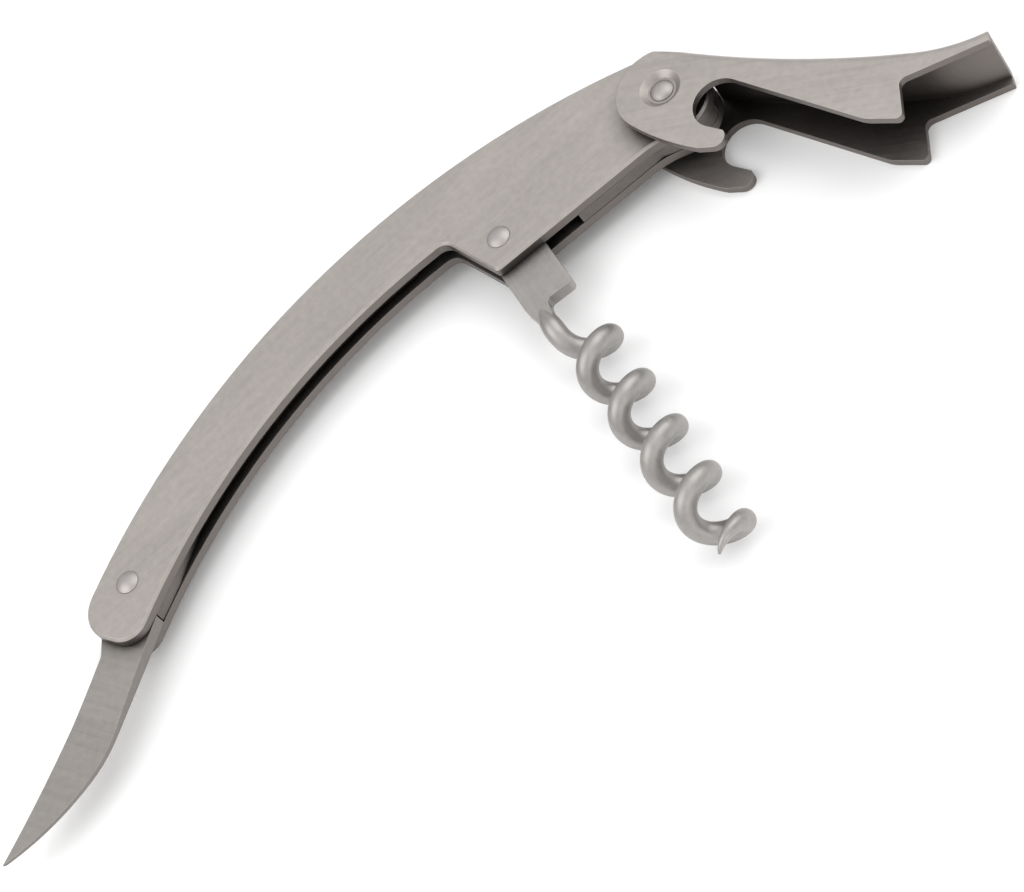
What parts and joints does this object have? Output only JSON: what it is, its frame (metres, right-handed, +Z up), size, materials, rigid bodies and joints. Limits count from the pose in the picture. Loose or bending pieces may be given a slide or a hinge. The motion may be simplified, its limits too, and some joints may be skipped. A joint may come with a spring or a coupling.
{
  "type": "lever corkscrew",
  "caption": "Folding waiter's corkscrew: curved two-plate handle with a riveted right-hand worm, a foil blade and a channel lever with a cap-lifter notch.",
  "frame": {"origin": "under the middle of the box, as it lies flat on one lever cheek, fully opened", "axes": "+X along the handle from the blade to the lever, +Y towards the handle's convex edge, +Z up through its thickness"},
  "size_m": [0.1774, 0.0844, 0.012],
  "materials": {
    "plate_steel": "satin",
    "lever_steel": "satin",
    "spring_steel": "satin",
    "rivet_steel": "polished",
    "worm_steel": "polished",
    "blade_steel": "satin"
  },
  "bodies": {
    "handle": {"front_plate": "plate_steel", "rear_plate": "plate_steel", "knife_spring": "spring_steel", "knife_spring_pins": "rivet_steel", "spacer_bar": "spring_steel", "spacer_bar_pins": "rivet_steel", "knife_rivet": "rivet_steel", "worm_rivet": "rivet_steel", "lever_rivet": "rivet_steel"},
    "lever": {"lever": "lever_steel"},
    "worm": {"worm": "worm_steel"},
    "knife": {"knife_blade": "blade_steel"}
  },
  "joints": [
    {"name": "lever_fold", "type": "hinge", "parent": "handle", "child": "lever", "pos_m": [0.05196, 0.02247, 0.006], "axis": [0, 0, 1], "range_deg": [-129, 15]},
    {"name": "worm_fold", "type": "hinge", "parent": "handle", "child": "worm", "pos_m": [0.02107, 0.02447, 0.006], "axis": [0, 0, 1], "range_deg": [-77.4, 9]},
    {"name": "knife_fold", "type": "hinge", "parent": "handle", "child": "knife", "pos_m": [-0.05094, 0.02228, 0.006], "axis": [0, 0, 1], "range_deg": [-193, 0]}
  ],
  "couplings": [
    {"joint": "worm_fold", "follows": "lever_fold", "ratio": 0.6}
  ]
}
